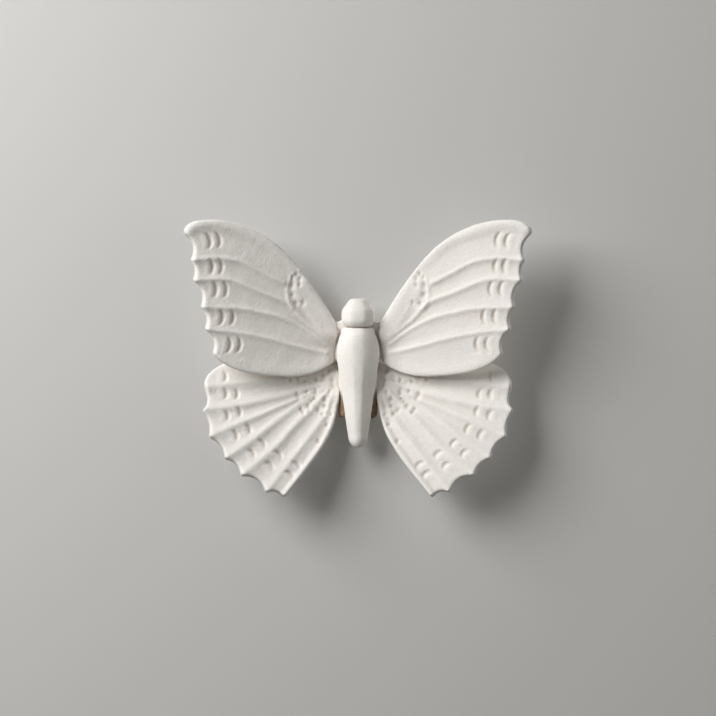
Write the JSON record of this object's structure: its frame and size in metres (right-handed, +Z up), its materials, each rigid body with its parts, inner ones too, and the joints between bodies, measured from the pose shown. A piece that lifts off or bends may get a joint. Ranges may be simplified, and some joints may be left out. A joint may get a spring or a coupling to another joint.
{
  "type": "butterfly wall ornament",
  "caption": "Matte off-white cast butterfly ornament with spread relief wings, body and head on a back saddle that hangs on a wall pin.",
  "frame": {"origin": "mouth of the hanging hole, on the back face that lies on the wall", "axes": "+X to the viewer's right along the wing span, +Y into the wall, +Z up; the front faces -Y"},
  "size_m": [0.1214, 0.0269, 0.0974],
  "materials": {
    "bisque": "unglazed, matte, fine grained",
    "bush_brass": "drawn tube, satin"
  },
  "bodies": {
    "root": {"saddle": "bisque", "body": "bisque", "head": "bisque", "forewing_left": "bisque", "forewing_right": "bisque", "hindwing_left": "bisque", "hindwing_right": "bisque", "hanger_bush": "bush_brass"}
  },
  "joints": []
}
